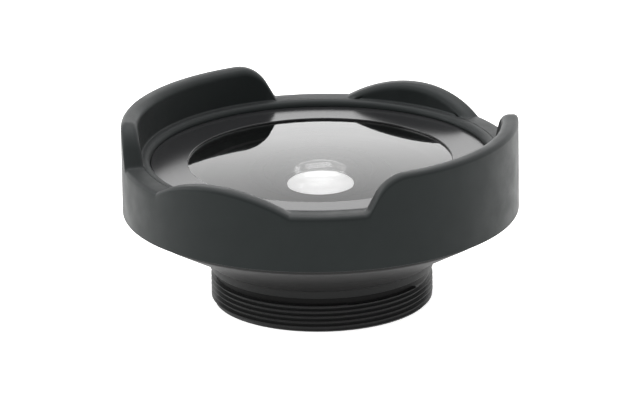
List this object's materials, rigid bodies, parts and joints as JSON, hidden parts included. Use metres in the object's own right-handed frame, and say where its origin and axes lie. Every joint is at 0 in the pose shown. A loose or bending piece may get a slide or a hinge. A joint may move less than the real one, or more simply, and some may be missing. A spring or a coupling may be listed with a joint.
{
  "type": "wide-angle lens",
  "caption": "Round screw-on wide-angle conversion lens with a nearly flat front glass, a satin bezel, a turning hood with long and short petals, and a male camera thread behind.",
  "frame": {"origin": "centre of the thread ring's rear face, on the optical axis, which is also the lowest point of the part", "axes": "+Z along the optical axis towards the front glass and the hood's mouth; the short petals at +X and -X and the long petals at +Y and -Y"},
  "size_m": [0.075, 0.075, 0.0353],
  "materials": {
    "hood": "matt, slightly rubbery black",
    "grip_rubber": "dull",
    "barrel": "satin black anodised aluminium",
    "bezel": "satin black anodised aluminium, turned",
    "inner_black": "flat anti-reflection black",
    "washer_plastic": "dull",
    "front_glass": "polished optical glass",
    "pair_glass": "polished optical glass",
    "seal_rubber": "dull",
    "rear_ring": "satin black",
    "thread_ring": "satin black anodised aluminium",
    "screw_steel": "black oxide"
  },
  "bodies": {
    "barrel": {"front_barrel": "barrel", "hood_grip_ring": "grip_rubber", "front_bezel": "bezel", "front_retaining_ring": "inner_black", "front_cushion_ring": "washer_plastic", "front_element": "front_glass", "front_seal_ring": "seal_rubber", "light_baffle": "inner_black", "flare_stop": "inner_black", "rear_cell": "inner_black", "doublet_front_element": "pair_glass", "doublet_rear_element": "pair_glass", "doublet_cushion_ring": "washer_plastic", "doublet_retaining_ring": "rear_ring", "rear_seal_ring": "seal_rubber", "rear_mount_ring": "thread_ring", "mount_lock_screws": "screw_steel"},
    "hood": {"petal_hood": "hood"}
  },
  "joints": [
    {"name": "hood_turn", "type": "hinge", "parent": "barrel", "child": "hood", "pos_m": [0, 0, 0.0231], "axis": [0, 0, 1], "continuous": true}
  ]
}
